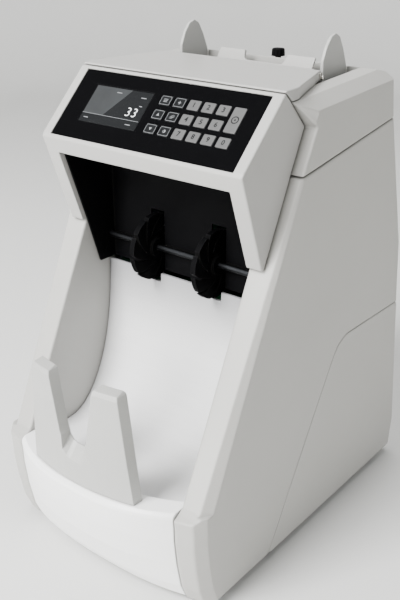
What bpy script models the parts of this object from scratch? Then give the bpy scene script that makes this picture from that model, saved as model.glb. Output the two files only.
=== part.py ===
# Banknote counting machine: a desk machine with a hopper on top, a keypad on a sloped head
# and a stacker pocket in front. Millimetres in every helper, +X to the operator's right hand
# when facing the front (-Y), +Z up, origin on the desk under the middle of the machine.

import math

import bmesh
import bpy
from mathutils import Vector

mm = 0.001

# Driving dimensions
bodyWidth = 242.6
bodyDepth = 375.0
bodyHeight = 441.0
wall = 2.6
panelThickness = 2.0
keyPitchX = 15.0
keyPitchY = 14.1
noteLean = 31.0
hopperDepth = 35.0
floorDrop = 72.0
floorThickness = 2.5
wheelRadius = 32.0
wheelPlace = 36.0
stopHeight = 103.0
stopThickness = 11.0
railRadius = 3.0
guideRest = 79.0

# Clearances
gap = 0.3
seam = 0.5
runningGap = 0.35

# Sizes that follow from the driving dimensions
half = bodyWidth / 2
headHalf = half - 11.3
pocketHalf = half - 26.3
frameOuter = half - 28.8
frameInner = frameOuter - 1.5
frontY = -bodyDepth / 2
arcRadius = 235.0
arcCentreY = frontY + arcRadius
seamHalf = pocketHalf - gap
shaftRadius = 3.0
bore = shaftRadius + runningGap


def at(y, z):
    """A point of the shell's side view, drawn for a depth of 375 and a ridge height of 441."""
    return y * bodyDepth / 375.0, z * bodyHeight / 441.0


slantFoot = at(-155.3, 100)
slantHead = at(-28.8, 369)
rearLine = [at(184, 8), at(187.5, 42), at(171, 168), at(160, 262), at(122, 392)]
panelTop = at(-43.8, 434.1)
panelFoot = at(-93.9, 385.0)
panelSlope = math.atan2(panelTop[1] - panelFoot[1], panelTop[0] - panelFoot[0])
panelLength = math.dist(panelTop, panelFoot)
panelHalf = headHalf - 10.0
ridgeTop = at(47.5, 440.0)
chassisTop = 8.0
chassisFront = at(-136, 0)[0]
ledgeZ = at(0, 106)[1]
ceilingZ = at(0, 368.3)[1]


def slantY(z):
    t = (z - slantFoot[1]) / (slantHead[1] - slantFoot[1])
    return slantFoot[0] + t * (slantHead[0] - slantFoot[0])


def rearY(z):
    for (y0, z0), (y1, z1) in zip(rearLine, rearLine[1:]):
        if z <= z1:
            return y0 + (y1 - y0) * (z - z0) / (z1 - z0)
    return rearLine[-1][0]


def between(start, end, y):
    """The height at y of the straight line through two points."""
    return start[1] + (end[1] - start[1]) * (y - start[0]) / (end[0] - start[0])


def partingZ(y):
    return between(at(-30, 369), at(120, 391.8), y)


def deckZ(y):
    return between(at(-31.5, 428.7), at(104, 436.25), y)


lean = math.radians(noteLean)
downWall = (-math.sin(lean), -math.cos(lean))
acrossNotes = (math.cos(lean), -math.sin(lean))


def inHopper(down, across):
    """A point measured down the hopper's front wall from the ridge, and square across the notes."""
    return (
        ridgeTop[0] - 0.1 + down * downWall[0] + across * acrossNotes[0],
        ridgeTop[1] - 1.5 + down * downWall[1] + across * acrossNotes[1],
    )


pickupRadius = 13.0
feedRadius = 18.0
retardRadius = 8.0
pickupAxis = inHopper(40.0, 1.5 - pickupRadius)
feedAxis = inHopper(77.5, 1.5 - feedRadius)
rodAxis = inHopper(2.0, hopperDepth + 8.0)
pocketRearY = feedAxis[0] - feedRadius - gap
stackerAxis = (pocketRearY - 7.0, at(0, 276)[1])

# Colour, roughness and metallic value of each material
materialTable = {
    "shell_white": ("E6E6E3", 0.42, 0.0),
    "shell_grey": ("B4B3AF", 0.45, 0.0),
    "head_grey": ("BDBCB8", 0.42, 0.0),
    "stop_grey": ("C6C6C3", 0.45, 0.0),
    "panel_black": ("0B0C0E", 0.12, 0.0),
    "display_glass": ("3C3E40", 0.15, 0.0),
    "key_grey": ("8C8C8C", 0.5, 0.0),
    "key_black": ("141517", 0.35, 0.0),
    "inner_black": ("0D0D0E", 0.5, 0.0),
    "rubber": ("1A1A1B", 0.85, 0.0),
    "steel": ("B8BABC", 0.3, 1.0),
    "board_green": ("1F5A38", 0.6, 0.0),
    "desk_rubber": ("202021", 0.9, 0.0),
}


def material(name):
    if name in bpy.data.materials:
        return bpy.data.materials[name]
    code, roughness, metallic = materialTable[name]
    made = bpy.data.materials.new(name)
    made.use_nodes = True
    shader = made.node_tree.nodes["Principled BSDF"]
    channels = [int(code[i : i + 2], 16) / 255 for i in (0, 2, 4)]
    linear = [c / 12.92 if c <= 0.04045 else ((c + 0.055) / 1.055) ** 2.4 for c in channels]
    shader.inputs["Base Color"].default_value = (*linear, 1)
    shader.inputs["Roughness"].default_value = roughness
    shader.inputs["Metallic"].default_value = metallic
    return made


# meshes


def finish(bm):
    bmesh.ops.recalc_face_normals(bm, faces=bm.faces)
    return bm


def loft(rings, closed=False):
    """A solid through rings of equal point counts, capped at both ends unless it closes on itself."""
    bm = bmesh.new()
    rows = [[bm.verts.new(Vector(p) * mm) for p in ring] for ring in rings]
    count = len(rows[0])
    pairs = list(zip(rows, rows[1:]))
    if closed:
        pairs.append((rows[-1], rows[0]))
    else:
        bm.faces.new(rows[0])
        bm.faces.new(rows[-1])
    for low, high in pairs:
        for i in range(count):
            j = (i + 1) % count
            bm.faces.new((low[i], low[j], high[j], high[i]))
    return finish(bm)


def prism(axis, outline, low, high):
    """An outline extruded along an axis: (y, z) along X, (x, z) along Y, (x, y) along Z."""
    spread = {
        "X": lambda a, b, c: (c, a, b),
        "Y": lambda a, b, c: (a, c, b),
        "Z": lambda a, b, c: (a, b, c),
    }[axis]
    return loft([[spread(a, b, c) for a, b in outline] for c in (low, high)])


def softPrism(outline, low, high, radius, steps=3):
    """An outline extruded along X, whose two ends are rounded off."""
    rings = []
    for k in range(steps + 1):
        a = math.pi / 2 * k / steps
        rings.append((low + radius * (1 - math.sin(a)), inset(outline, radius * (1 - math.cos(a)))))
    rings = rings[::-1] + [(low + high - x, ring) for x, ring in rings]
    return loft([[(x, y, z) for y, z in ring] for x, ring in rings])


def box(x, y, z):
    return prism("Z", [(x[0], y[0]), (x[1], y[0]), (x[1], y[1]), (x[0], y[1])], *z)


def bar(axis, centre, stations, sides=24):
    """A turned solid along an axis, from (place along it, radius) stations."""
    rings = []
    for place, radius in stations:
        ring = []
        for i in range(sides):
            a = 2 * math.pi * (i + 0.5) / sides
            u, v = centre[0] + radius * math.cos(a), centre[1] + radius * math.sin(a)
            ring.append({"X": (place, u, v), "Y": (u, place, v), "Z": (u, v, place)}[axis])
        rings.append(ring)
    return loft(rings)


def ring(axis, centre, profile, sides=24):
    """A turned ring round an axis, from a closed (place along it, radius) profile."""
    rings = []
    for i in range(sides):
        a = 2 * math.pi * (i + 0.5) / sides
        row = []
        for place, radius in profile:
            u, v = centre[0] + radius * math.cos(a), centre[1] + radius * math.sin(a)
            row.append({"X": (place, u, v), "Y": (u, place, v), "Z": (u, v, place)}[axis])
        rings.append(row)
    return loft(rings, closed=True)


def frontFace(x, setback, bow):
    """How far forward the front cover reaches at x: flat in the middle, and swept back to its ends."""
    return frontY + setback + bow * min(1.0, abs(x) / seamHalf) ** 2.6


def bowed(profile, halfAngle, steps):
    """A profile of (distance in from the front arc, z) points swept round the front arc's centre."""
    rings = []
    for i in range(steps + 1):
        a = math.radians(-halfAngle + 2 * halfAngle * i / steps)
        spokes = [(arcRadius - depth, z) for depth, z in profile]
        rings.append([(r * math.sin(a), arcCentreY - r * math.cos(a), z) for r, z in spokes])
    return loft(rings)


def rounded(outline, radius, steps=3):
    """An outline whose corners are arcs. The radius is one number, or one for each corner."""
    radii = radius if isinstance(radius, (list, tuple)) else [radius] * len(outline)
    points = []
    for i, r in enumerate(radii):
        here = Vector(outline[i])
        before = Vector(outline[i - 1]) - here
        after = Vector(outline[(i + 1) % len(outline)]) - here
        turn = before.angle(after)
        if r <= 0 or turn > math.radians(175):
            points.append(tuple(here))
            continue
        reach = min(r / math.tan(turn / 2), 0.45 * before.length, 0.45 * after.length)
        start = here + before.normalized() * reach
        end = here + after.normalized() * reach
        for k in range(steps + 1):
            t = k / steps
            points.append(tuple((1 - t) ** 2 * start + 2 * t * (1 - t) * here + t * t * end))
    return points


def inset(outline, distance):
    """The outline moved inwards by a distance, or outwards by a negative one."""
    area = sum(a[0] * b[1] - b[0] * a[1] for a, b in zip(outline, outline[1:] + outline[:1]))
    side = distance if area > 0 else -distance
    moved = []
    for i in range(len(outline)):
        a, b, c = (Vector(outline[(i + k) % len(outline)]) for k in (-1, 0, 1))
        first, second = (b - a).normalized(), (c - b).normalized()
        normal = Vector((-first.y, first.x)) + Vector((-second.y, second.x))
        scale = side / max(0.2, (1 + first.dot(second)))
        moved.append(tuple(b + normal * scale))
    return moved


def strip(line, thickness):
    """A closed outline: the line, and the line moved sideways by the thickness."""
    other = []
    for i, here in enumerate(line):
        a = Vector(line[max(i - 1, 0)])
        b = Vector(line[min(i + 1, len(line) - 1)])
        along = (b - a).normalized()
        other.append(tuple(Vector(here) + Vector((-along.y, along.x)) * thickness))
    return list(line) + other[::-1]


# objects


def piece(name, bm, look, origin=(0, 0, 0), parent=None, bevel=0.0, segments=2, angle=35):
    """An object whose origin is at a point in millimetres, with an optional bevel on its hard edges."""
    shift = Vector(origin) * mm
    bmesh.ops.translate(bm, verts=bm.verts, vec=-shift)
    mesh = bpy.data.meshes.new(name)
    bm.to_mesh(mesh)
    bm.free()
    mesh.shade_smooth()
    mesh.set_sharp_from_angle(angle=math.radians(28))
    mesh.materials.append(material(look))
    made = bpy.data.objects.new(name, mesh)
    bpy.context.scene.collection.objects.link(made)
    made.parent = parent
    made.location = shift
    if bevel:
        soft = made.modifiers.new("Soften", "BEVEL")
        soft.width = bevel * mm
        soft.segments = segments
        soft.limit_method = "ANGLE"
        soft.angle_limit = math.radians(angle)
    return made


def combine(target, bm, operation):
    """A Boolean with a hidden helper, in the target's own parent space."""
    mesh = bpy.data.meshes.new(target.name + "_helper")
    bm.to_mesh(mesh)
    bm.free()
    helper = bpy.data.objects.new(target.name + "_helper", mesh)
    bpy.context.scene.collection.objects.link(helper)
    helper.parent = target.parent
    helper.hide_render = True
    helper.display_type = "WIRE"
    made = target.modifiers.new(operation.title(), "BOOLEAN")
    made.operation = operation
    made.solver = "EXACT"
    made.object = helper
    return target


def cut(target, *meshes):
    for bm in meshes:
        combine(target, bm, "DIFFERENCE")


def add(target, *meshes):
    for bm in meshes:
        combine(target, bm, "UNION")


# shell


def chassisBase():
    side, rear = half - 6, at(176, 0)[0]
    outline = [(-side, chassisFront), (side, chassisFront), (side, rear), (-side, rear)]
    base = piece("chassis_base", prism("Z", rounded(outline, 8), 5, chassisTop + 9), "steel")
    cut(base, prism("Z", rounded(inset(outline, 2), 6), chassisTop, chassisTop + 20))


def feet():
    for side, x in (("left", -half + 30), ("right", half - 30)):
        for end, y in (("front", at(-118, 0)[0]), ("rear", at(150, 0)[0])):
            stations = [(0, 8), (0.8, 9), (5 - gap, 9.5)]
            piece(f"foot_{end}_{side}", bar("Z", (x, y), stations), "desk_rubber", origin=(x, y, 0))


# Rows down the front: height, setback at the middle, and how far the ends sweep back
frontRows = [
    (ledgeZ - 5, 0.0, 24.0),
    (ledgeZ - 14, 0.5, 24.2),
    (at(0, 78)[1], 2.4, 22.6),
    (at(0, 52)[1], 8.2, 19.8),
    (at(0, 24)[1], 19.0, 14.5),
    (chassisTop + 0.6, 29.0, 11.0),
]


def frontCover():
    z, setback, bow = frontRows[0]
    lip = [(z + 2.6, setback + 0.8, bow), (ledgeZ, setback + 4.0, bow), (ledgeZ, setback + 24, bow)]
    flange = chassisFront - 1.5 - frontY
    outside = lip[::-1] + frontRows + [(frontRows[-1][0], flange, 0.0)]
    inside = [(ledgeZ - wall, 24.0, bow), (ledgeZ - wall, 6.4, bow), (z - 2, wall + 0.6, bow)]
    inside += [(row[0], row[1] + wall + 0.8, row[2]) for row in frontRows[1:-1]]
    inside += [(frontRows[-1][0] + wall, frontRows[-1][1] + 4, frontRows[-1][2])]
    inside += [(frontRows[-1][0] + wall, flange, 0.0)]
    rings = []
    steps = 24
    for i in range(steps + 1):
        x = seamHalf * (2 * i / steps - 1)
        rings.append([(x, frontFace(x, setback, bow), z) for z, setback, bow in outside + inside[::-1]])
    piece("front_cover", loft(rings), "shell_white")


def sideOutline(setback=0.0):
    """The side cover's side view. The setback moves its front edge and its toe to the rear."""
    head = (slantY(at(0, 368.2)[1]), at(0, 368.2)[1])
    toe = [(frontFace(seamHalf, back, bow), z) for z, back, bow in frontRows[::-1]]
    toe[0] = (toe[0][0], chassisTop)
    toe += [(slantY(ledgeZ - 1.5) - 4.0, ledgeZ - 1.5), (slantY(ledgeZ + 2.5), ledgeZ + 2.5)]
    front = [(y + setback, z) for y, z in toe + [head]]
    rear = [(rearY(z), z) for z in (at(0, 390)[1], at(0, 262)[1], at(0, 168)[1], at(0, 42)[1])]
    back = (rear[0][0], partingZ(rear[0][0]) - gap)
    shoulder = head[0] + setback + 6
    return front + [(shoulder, partingZ(shoulder) - gap), back] + rear[1:] + [rearLine[0]]


lowerOutline = [
    at(-57, 8),
    at(10.5, 126),
    at(42.5, 180),
    at(50, 189),
    at(64, 195),
    (rearY(at(0, 193)[1]), at(0, 193)[1]),
    at(171, 168),
    at(187.5, 42),
    at(184, 8),
]


# The corner taken off the cover's outer front edge: across and back, at the toe and at the head
toeCorner = (7.0, 10.0)
toeSweep = 3.6
headCorner = 0.3


def cornerCut(side, levels):
    """A wedge that takes the outer front edge off, through levels of (front y, z, share of toeCorner)."""
    rings = []
    for y, z, share in levels:
        across, back = toeCorner[0] * share, toeCorner[1] * share
        far = 6.0
        start = (half - across * (1 + far), y - back * far)
        end = (half + across * far, y + back * (1 + far))
        rings.append([(side * x, depth, z) for x, depth in (start, end, (end[0], start[1]))])
    return loft(rings)


def sideCover(name, side):
    def span(low, high):
        return sorted((side * low, side * high))

    outline = sideOutline()
    cover = piece(name, softPrism(outline, *span(pocketHalf, half), 2.0), "shell_grey")
    skin = wall + 0.2
    shallow = inset(sideOutline(toeSweep), skin)
    cut(cover, prism("X", shallow, *span(pocketHalf + 2.4, half - toeCorner[0] - skin)))
    deep = inset(sideOutline(toeCorner[1] + toeSweep), skin)
    cut(cover, prism("X", deep, *span(half - toeCorner[0] - skin - 1, half - wall)))
    inner = at(-26, 0)[0]
    rear = at(200, 0)[0]
    top = [(inner, -5), (rear, -5), (rear, partingZ(rear) - wall - 1), (inner, partingZ(inner) - wall - 1)]
    cut(cover, prism("X", top, *span(pocketHalf - 5, half - wall - 0.1)))
    tray = (chassisFront - 2 * gap, rear)
    cut(cover, box(span(pocketHalf - 5, half - 5.6), tray, (-5, chassisTop + 9.6)))
    flange = (at(0, 380)[1], at(0, 400)[1])
    cut(cover, box(span(pocketHalf - 5, half - wall - 0.2), (at(116.5, 0)[0], rear), flange))
    # The lower panel's place, the swept-back toe and the corner along the slanted edge
    cut(cover, prism("X", inset(lowerOutline, -seam - gap), *span(half - 8, half + 8)))
    toeTop = ledgeZ + 1
    sweep = [(pocketHalf + 2, -0.5), (half - toeCorner[0] - 1.5, toeSweep - 0.8)]
    sweep += [(half - toeCorner[0], toeSweep), (half, toeSweep + toeCorner[1])]
    sweep += [(half + 9, toeSweep + 2.3 * toeCorner[1]), (half + 9, -60), (pocketHalf + 2, -60)]
    levels = [(z, frontFace(seamHalf, back, bow)) for z, back, bow in frontRows[::-1]]
    levels = [(-2, levels[0][1])] + levels + [(toeTop, levels[-1][1])]
    cut(cover, loft([[(side * x, y + front, z) for x, y in sweep] for z, front in levels]))
    high = at(0, 372)[1]
    cut(cover, cornerCut(side, [(slantY(toeTop), toeTop - 0.2, 1.0), (slantY(high), high, headCorner)]))


def lowerPanel(name, side):
    span = sorted((side * (half - wall), side * half))
    piece(name, prism("X", rounded(lowerOutline, 3, 2), *span), "shell_grey", bevel=0.8, segments=1)


def rearCover():
    top = at(0, 228)[1]
    line = [rearLine[0], rearLine[1], rearLine[2], (rearY(top), top)]
    side = half - wall - gap
    cover = piece("rear_cover", prism("X", strip(line, wall), -side, side), "shell_grey")
    cut(cover, box((-84, -56), (at(150, 0)[0], at(200, 0)[0]), (48, 76)))
    cut(cover, box((-42, -28), (at(150, 0)[0], at(200, 0)[0]), (49.4, 74.4)))
    for k in range(6):
        z = at(0, 110)[1] + 9 * k
        cut(cover, box((10, 80), (at(150, 0)[0], at(200, 0)[0]), (z, z + 3.2)))


def rearDoor():
    low, top = at(0, 228.6)[1], at(0, 390.8)[1]
    line = [(rearY(low), low), (rearY(at(0, 262)[1]), at(0, 262)[1]), (rearY(top), top)]
    hinge = (0, rearY(low), low)
    side = half - wall - seam
    door = piece("rear_door", prism("X", strip(line, wall), -side, side), "shell_grey", hinge)
    pull = at(0, 372)[1]
    cut(door, box((-22, 22), (rearY(pull) - 1.2, rearY(pull) + 20), (pull - 8, pull + 5)))


def upperHousing():
    rearTop = at(113, 0)[0]
    outline = [
        at(-28.6, 370.0),
        at(-10.4, 407.0),
        at(-31.5, 428.7),
        (at(104, 0)[0], deckZ(at(104, 0)[0])),
        (rearTop, deckZ(at(104, 0)[0]) - 2.5),
        (rearTop + 2.6, deckZ(at(104, 0)[0]) - 8),
        (rearY(at(0, 390)[1]) - 0.3, partingZ(rearY(at(0, 390)[1])) + gap),
    ]
    housing = piece("upper_housing", prism("X", outline, -half, half), "shell_grey", bevel=1.6)
    deck = deckZ(at(100, 0)[0])
    hollow = [
        at(-23, 362),
        at(-7.2, 404),
        (at(-7.2, 0)[0], deckZ(at(-7.2, 0)[0]) - wall - 9),
        (at(103, 0)[0], deck - wall - 9),
        (rearTop - 1.5, deck - 13),
        (at(118.6, 0)[0], at(0, 396)[1]),
        (at(118.6, 0)[0], at(0, 362)[1]),
    ]
    cut(housing, prism("X", hollow, -half + wall, half - wall))
    mouth = at(104, 0)[0]
    cut(housing, box((-frameOuter - 0.6, frameOuter + 0.6), (at(-45, 0)[0], mouth), (300, 500)))
    for side in (-1, 1):
        sections = []
        for y in (at(-60, 0)[0], at(150, 0)[0]):
            d = deckZ(y)
            slope = [(headHalf - 1.7, d + 1.43), (half + 4, d - 12.9)]
            above = [(x, d + 30) for x, z in slope[::-1]]
            sections.append([(side * x, y, z) for x, z in slope + above])
        cut(housing, loft(sections))
        low, top = at(0, 371)[1], at(0, 431)[1]
        sections = []
        for z, inner, outer in ((low, at(-31, 0)[0], at(-30, 0)[0]), (top, at(-33, 0)[0], at(-4, 0)[0])):
            corners = [(headHalf, -90), (headHalf, inner), (half + 3, outer), (half + 3, -90)]
            sections.append([(side * x, y, z) for x, y in corners])
        cut(housing, loft(sections))
    cut(housing, bar("Z", (0, at(112, 0)[0] - 1), [(300, 3.4), (500, 3.4)]))


def headHousing():
    outline = [
        at(-41.5, 437.2),
        at(-94.2, 385.6),
        at(-96.3, 382.6),
        at(-66.4, 298),
        (slantY(at(0, 298)[1]) - 0.6, at(0, 298)[1]),
        (slantY(at(0, 366)[1]) - 0.6, at(0, 366)[1]),
        at(-29.6, 369.4),
        at(-11.4, 406.9),
        at(-34.2, 430.6),
    ]
    head = piece("head_housing", prism("X", outline, -headHalf, headHalf), "head_grey", bevel=1.3)
    cut(head, box((-pocketHalf, pocketHalf), (at(-130, 0)[0], 20), (at(0, 250)[1], ceilingZ)))
    floor = ceilingZ + wall
    cavity = [
        (at(-89.4, 0)[0], floor),
        at(-91.3, 380.6),
        at(-39.6, 431.6),
        at(-34.8, 426.9),
        at(-16.2, 407.6),
        at(-5, 400),
        (at(-5, 0)[0], floor),
    ]
    cut(head, prism("X", cavity, -headHalf + wall, headHalf - wall))
    for side in (-1, 1):
        cheek = [at(-88.6, 372.5), at(-64.8, 304), at(-50, 304), at(-10, 372.5)]
        cut(head, prism("X", cheek, *sorted((side * (pocketHalf + wall), side * (headHalf - wall)))))
    return head


def topCover():
    front = at(-41.0, 437.9)
    ridge = (ridgeTop[0], ridgeTop[1] - 1)
    rearFoot = (ridgeTop[0], deckZ(ridgeTop[0]) + 0.4)
    outline = [
        at(-33.2, 432.2),
        front,
        at(-39, 438.9),
        (at(43.5, 0)[0], ridgeTop[1] + 1),
        ridge,
        rearFoot,
        (at(-30.5, 0)[0], deckZ(at(-30.5, 0)[0]) + 0.4),
    ]
    wide = headHalf - 0.4
    cover = piece("top_cover", prism("X", outline, -wide, wide), "shell_white", bevel=0.9)
    narrow = headHalf - 23.5
    for side in (-1, 1):
        plan = [(headHalf - 0.2, -24), (narrow, 48.5), (narrow, 70), (half + 5, 70), (half + 5, -24)]
        plan = [(side * x, at(y, 0)[0]) for x, y in plan]
        cut(cover, prism("Z", plan, 300, 600))
    plan = [(headHalf - 3, -30.2), (headHalf - 3, -24.5), (narrow - 2.6, 44.6)]
    plan = plan + [(-x, y) for x, y in plan[::-1]]
    cut(cover, prism("Z", [(x, at(y, 0)[0]) for x, y in plan], 300, at(0, 436.2)[1]))
    # The rail along the rear edge, and the field that stands 1 mm proud of the slope
    railEnd = narrow - 0.5
    ends = [(-railEnd, railRadius - 0.7), (-railEnd + 0.7, railRadius)]
    ends += [(railEnd - 0.7, railRadius), (railEnd, railRadius - 0.7)]
    add(cover, bar("X", (ridge[0] - 1.6, ridge[1] - railRadius + 1.6), ends, 20))
    climb = (ridge[1] - front[1]) / (ridge[0] - front[0])
    rows = []
    for lift, shrink in ((-1.2, 0.0), (0.2, 0.0), (1.0, 1.0)):
        near = (headHalf - 17 - shrink, at(-31.5, 0)[0] + shrink)
        far = (narrow - 7 - shrink, at(36, 0)[0] - shrink)
        row = [(x, y, front[1] + climb * (y - front[0]) + lift) for x, y in (near, far)]
        rows.append(row + [(-x, y, z) for x, y, z in row[::-1]])
    add(cover, loft(rows))
    top, foot = inHopper(0.5, 0), inHopper(55, 0)
    blade = [top, foot, inHopper(55, -2.6), inHopper(-1.5, -2.6)]
    add(cover, prism("X", blade, -80, 80))
    for side in (-1, 1):
        low, high = foot[1] + 3.5, inHopper(26, 0)[1]
        cut(cover, box(sorted((side * 20, side * 42)), (at(-5, 0)[0], at(45, 0)[0]), (low, high)))


# head fittings

def makePanelFrame():
    """An empty on the panel's upper edge, with X along the panel and Y up its slope."""
    frame = bpy.data.objects.new("panel_frame", None)
    bpy.context.scene.collection.objects.link(frame)
    frame.location = Vector((0, *panelTop)) * mm
    frame.rotation_euler = (panelSlope, 0, 0)
    return frame


def headWindow(head, panelFrame):
    """The recess that the control panel lies in, and the window behind it."""
    reach = panelHalf + gap
    recess = box((-reach, reach), (-panelLength - gap, gap), (-panelThickness - gap, 12))
    window = box((-panelHalf + 5, panelHalf - 5), (-panelLength + 5, -5), (-14, 1))
    for bm in (recess, window):
        bmesh.ops.rotate(bm, verts=bm.verts, cent=(0, 0, 0), matrix=panelFrame.rotation_euler.to_matrix())
        bmesh.ops.translate(bm, verts=bm.verts, vec=panelFrame.location)
        cut(head, bm)


keyWidth = 11.7
keyHeight = 9.4
keyColumns = [3.1 + keyPitchX * k for k in range(6)]
keyRows = [-19.2 - keyPitchY * k for k in range(3)]
displaySpan = ((-79.0, -13.0), (-52.0, -14.0))

keyTable = [
    ("key_menu", 0, 0, "key_black"),
    ("key_add", 1, 0, "key_black"),
    ("key_1", 2, 0, "key_grey"),
    ("key_2", 3, 0, "key_grey"),
    ("key_3", 4, 0, "key_grey"),
    ("key_up", 0, 1, "key_black"),
    ("key_batch", 1, 1, "key_black"),
    ("key_4", 2, 1, "key_grey"),
    ("key_5", 3, 1, "key_grey"),
    ("key_6", 4, 1, "key_grey"),
    ("key_down", 0, 2, "key_black"),
    ("key_mode", 1, 2, "key_black"),
    ("key_7", 2, 2, "key_grey"),
    ("key_8", 3, 2, "key_grey"),
    ("key_9", 4, 2, "key_grey"),
    ("key_0", 5, 2, "key_grey"),
]


def keyPlaces():
    """Each key's name, centre, size and look. The start key is as tall as two rows."""
    for name, column, row, look in keyTable:
        yield name, keyColumns[column], keyRows[row], keyWidth, keyHeight, look
    middle = (keyRows[0] + keyRows[1]) / 2
    yield "key_start", keyColumns[5], middle, keyWidth, keyHeight + keyPitchY, "key_grey"


def plate(width, height, z):
    """A rounded rectangle's outline at a height, for a keycap."""
    x, y = width / 2, height / 2
    return [(a, b, z) for a, b in rounded([(-x, -y), (x, -y), (x, y), (-x, y)], 1.0, 2)]


def controlPanel(panelFrame):
    corners = [(-panelHalf, -panelLength), (panelHalf, -panelLength), (panelHalf, 0), (-panelHalf, 0)]
    bm = prism("Z", rounded(corners, 3, 3), -panelThickness, 0)
    panel = piece("control_panel", bm, "panel_black", parent=panelFrame)
    (x0, x1), (y0, y1) = displaySpan
    cut(panel, box((x0 - gap, x1 + gap), (y0 - gap, y1 + gap), (-10, 10)))
    for _, x, y, width, height, _ in keyPlaces():
        w, h = width / 2 + gap, height / 2 + gap
        cut(panel, box((x - w, x + w), (y - h, y + h), (-10, 10)))


def display(panelFrame):
    (x0, x1), (y0, y1) = displaySpan
    block = box((x0, x1), (y0, y1), (-5.6, -0.2))
    piece("display", block, "display_glass", parent=panelFrame, bevel=0.3, segments=1)


def keys(panelFrame):
    under = -panelThickness - gap
    for name, x, y, width, height, look in keyPlaces():
        rings = [
            plate(width + 1.6, height + 1.6, under - 1),
            plate(width + 1.6, height + 1.6, under),
            plate(width, height, under),
            plate(width, height, 0.5),
            plate(width - 0.6, height - 0.6, 0.8),
        ]
        key = piece(name, loft(rings), look, parent=panelFrame)
        key.location = Vector((x, y, 0)) * mm


def controlBoard(panelFrame):
    board = piece(
        "control_board",
        box((-panelHalf + 3, panelHalf - 3), (-panelLength + 6, -8), (-8.6, -7)),
        "board_green",
        parent=panelFrame,
    )
    add(board, box((20, 52), (-40, -22), (-11, -8)), box((-60, -30), (-50, -40), (-12, -8)))
    for x in (-panelHalf + 9, panelHalf - 9):
        for y in (-panelLength + 10, -12):
            add(board, bar("Z", (x, y), [(-8, 2), (-panelThickness - gap, 2)], 12))


# hopper


def hopperFloor():
    under = floorDrop + floorThickness
    low, far = inHopper(floorDrop, 3), inHopper(floorDrop, hopperDepth - 1)
    outline = [low, far, inHopper(under, hopperDepth - 1), inHopper(under, 3)]
    side = frameInner - gap
    floor = piece("hopper_floor", prism("X", outline, -side, side), "inner_black")
    cut(floor, box((-15, 15), (at(-20, 0)[0], low[0] + 15), (300, 500)))


def hopperBackrest():
    """The plate behind the notes, with a finger notch in its top edge."""
    near, far = hopperDepth, hopperDepth + 2.5
    under = floorDrop + floorThickness
    outline = [inHopper(under, near), inHopper(-26, near), inHopper(-26, far), inHopper(under, far)]
    rest = piece("hopper_backrest", prism("X", outline, -54, 54), "head_grey", bevel=0.6, segments=1)
    high = inHopper(-26, near)[1]
    notch = [(-22, high - 9), (22, high - 9), (27, high + 9), (-27, high + 9)]
    cut(rest, prism("Y", rounded(notch, [5, 5, 0, 0], 3), at(40, 0)[0], at(125, 0)[0]))


def noteGuide(name, side):
    """A fin that squares the notes' ends: it stands out of the hopper and slides along the rod."""
    front, rear = at(60.5, 0)[0], at(101.5, 0)[0]
    deck = deckZ(front)
    outline = [
        inHopper(floorDrop - 1, 5),
        inHopper(20, 5),
        (front, deck - 6),
        (front, deck + 12),
        (front + 5, deck + 23),
        (front + 12, deck + 31),
        (front + 19, deck + 33.5),
        (front + 26, deck + 30),
        (front + 33, deck + 19),
        (rear - 1, deck + 4),
        (rear, deck - 9),
        inHopper(26, hopperDepth + 12),
        inHopper(52, hopperDepth - 3),
        inHopper(floorDrop - 1, hopperDepth - 3),
    ]
    span = sorted((side * (guideRest - 1.5), side * (guideRest + 1.5)))
    origin = (side * guideRest, *rodAxis)
    fin = prism("X", rounded(outline, 3, 2), *span)
    guide = piece(name, fin, "stop_grey", origin, bevel=0.4, segments=1)
    hub = sorted((side * (guideRest - 1.0), side * (guideRest + 5.0)))
    add(guide, bar("X", rodAxis, [(hub[0], 6.2), (hub[1], 6.2)]))
    cut(guide, bar("X", rodAxis, [(-half, bore), (half, bore)]))


def guideRod():
    end = frameOuter + 1.2
    stations = [(-end, 2.4), (-end + 0.6, 3), (end - 0.6, 3), (end, 2.4)]
    piece("guide_rod", bar("X", rodAxis, stations), "steel")


def thicknessKnob():
    y = at(112, 0)[0] - 1
    top = deckZ(at(104, 0)[0]) - 2
    rings = []
    for z, radius, depth in ((top + 2.6, 6.6, 0.5), (top + 8.6, 6.2, 0.5), (top + 9.4, 5.4, 0.3)):
        row = []
        for i in range(48):
            a = 2 * math.pi * i / 48
            r = radius - depth * (i % 4 < 2)
            row.append((r * math.cos(a), y + r * math.sin(a), z))
        rings.append(row)
    knob = piece("thickness_knob", loft(rings), "inner_black", (0, y, top))
    add(knob, bar("Z", (0, y), [(top - 20, 3), (top + 4, 3)]))


# note transport


def shaft(name, axis, end, radius=3.0):
    stations = [(-end, radius - 0.5), (-end + 0.5, radius), (end - 0.5, radius), (end, radius - 0.5)]
    piece(name, bar("X", axis, stations), "steel", (0, *axis))


def roller(name, axis, radius, low, high):
    profile = [(low, shaftRadius + gap), (low, radius - 0.6), (low + 0.6, radius), (high - 0.6, radius)]
    profile += [(high, radius - 0.6), (high, shaftRadius + gap)]
    piece(name, ring("X", axis, profile, 32), "rubber", (0, *axis))


def pickupRollers():
    shaft("pickup_shaft", pickupAxis, frameOuter + 1.2)
    roller("pickup_roller_left", pickupAxis, pickupRadius, -39, -23)
    roller("pickup_roller_right", pickupAxis, pickupRadius, 23, 39)


def feedRollers():
    shaft("feed_shaft", feedAxis, frameOuter + 1.2)
    roller("feed_roller", feedAxis, feedRadius, -24, 24)


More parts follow.
